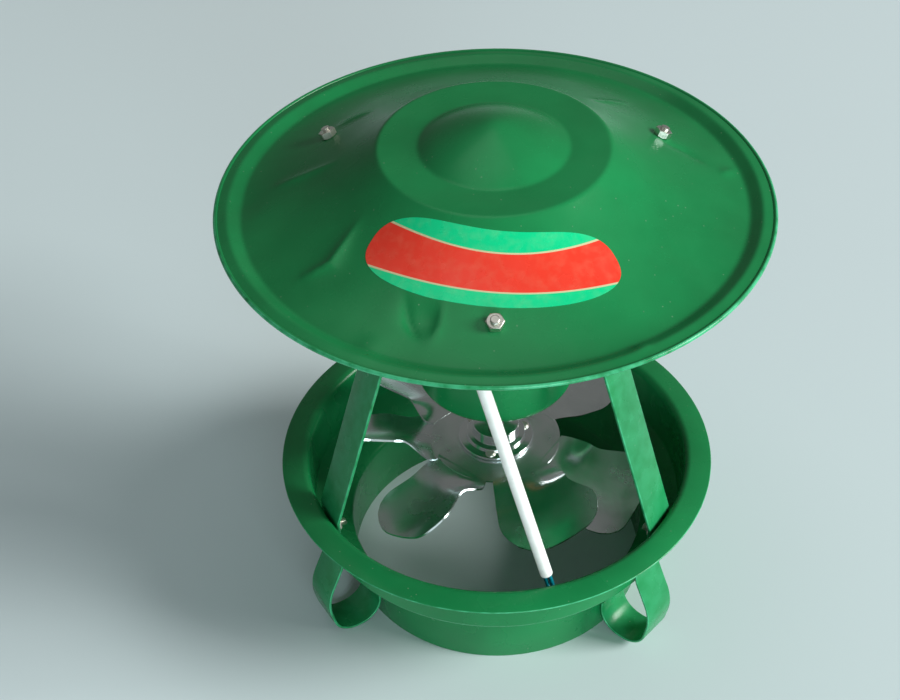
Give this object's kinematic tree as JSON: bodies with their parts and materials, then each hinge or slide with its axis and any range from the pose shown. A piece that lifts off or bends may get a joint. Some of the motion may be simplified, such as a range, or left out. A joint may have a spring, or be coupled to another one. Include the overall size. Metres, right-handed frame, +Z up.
{
  "type": "chimney exhaust fan",
  "caption": "Round chimney fan: a spun collar with spring legs for the flue, struts carrying a motor and a bladed wheel under a wide shallow hood.",
  "frame": {"origin": "middle of the lower edge of the collar's spigot", "axes": "+Z up along the fan's axis, -Y towards the front, where the lead comes down"},
  "size_m": [0.2504, 0.2504, 0.2688],
  "materials": {
    "green_paint": "glossy enamel",
    "bracket_steel": "zinc plated",
    "zinc_hardware": "bright zinc",
    "end_plate_alloy": "as cast",
    "fan_steel": "polished",
    "hub_steel": "turned",
    "lamination_steel": "stacked sheet",
    "coil_copper": "enamelled wire",
    "bearing_bronze": "sintered",
    "washer_fibre": "matt",
    "grommet_rubber": "matt",
    "sleeve_white": "matt",
    "wire_turquoise": "smooth"
  },
  "bodies": {
    "frame": {"hood": "green_paint", "collar": "green_paint", "strut_front_left": "green_paint", "strut_front_right": "green_paint", "strut_rear": "green_paint", "leg_front_left": "green_paint", "leg_front_right": "green_paint", "leg_rear": "green_paint", "motor_can": "green_paint", "motor_bracket": "bracket_steel", "foot_bolts": "zinc_hardware", "foot_nuts": "zinc_hardware", "hood_bolts": "zinc_hardware", "hood_nuts": "zinc_hardware", "strut_rivets": "zinc_hardware", "motor_screws": "zinc_hardware", "can_screws": "zinc_hardware", "motor_end_plate": "end_plate_alloy", "stator_core": "lamination_steel", "stator_coils": "coil_copper", "lower_bearing": "bearing_bronze", "upper_bearing": "bearing_bronze", "can_grommet": "grommet_rubber", "wall_grommet": "grommet_rubber", "wire_sleeve": "sleeve_white", "wire_a": "wire_turquoise", "wire_b": "wire_turquoise"},
    "rotor": {"shaft": "hub_steel", "thrust_washer": "washer_fibre", "rotor_core": "lamination_steel", "fan_wheel": "fan_steel", "fan_hub": "hub_steel", "hub_screw": "zinc_hardware", "fan_rivets": "zinc_hardware"}
  },
  "joints": [
    {"name": "rotor_spin", "type": "hinge", "parent": "frame", "child": "rotor", "pos_m": [0, 0, 0.08], "axis": [0, 0, 1], "continuous": true}
  ]
}
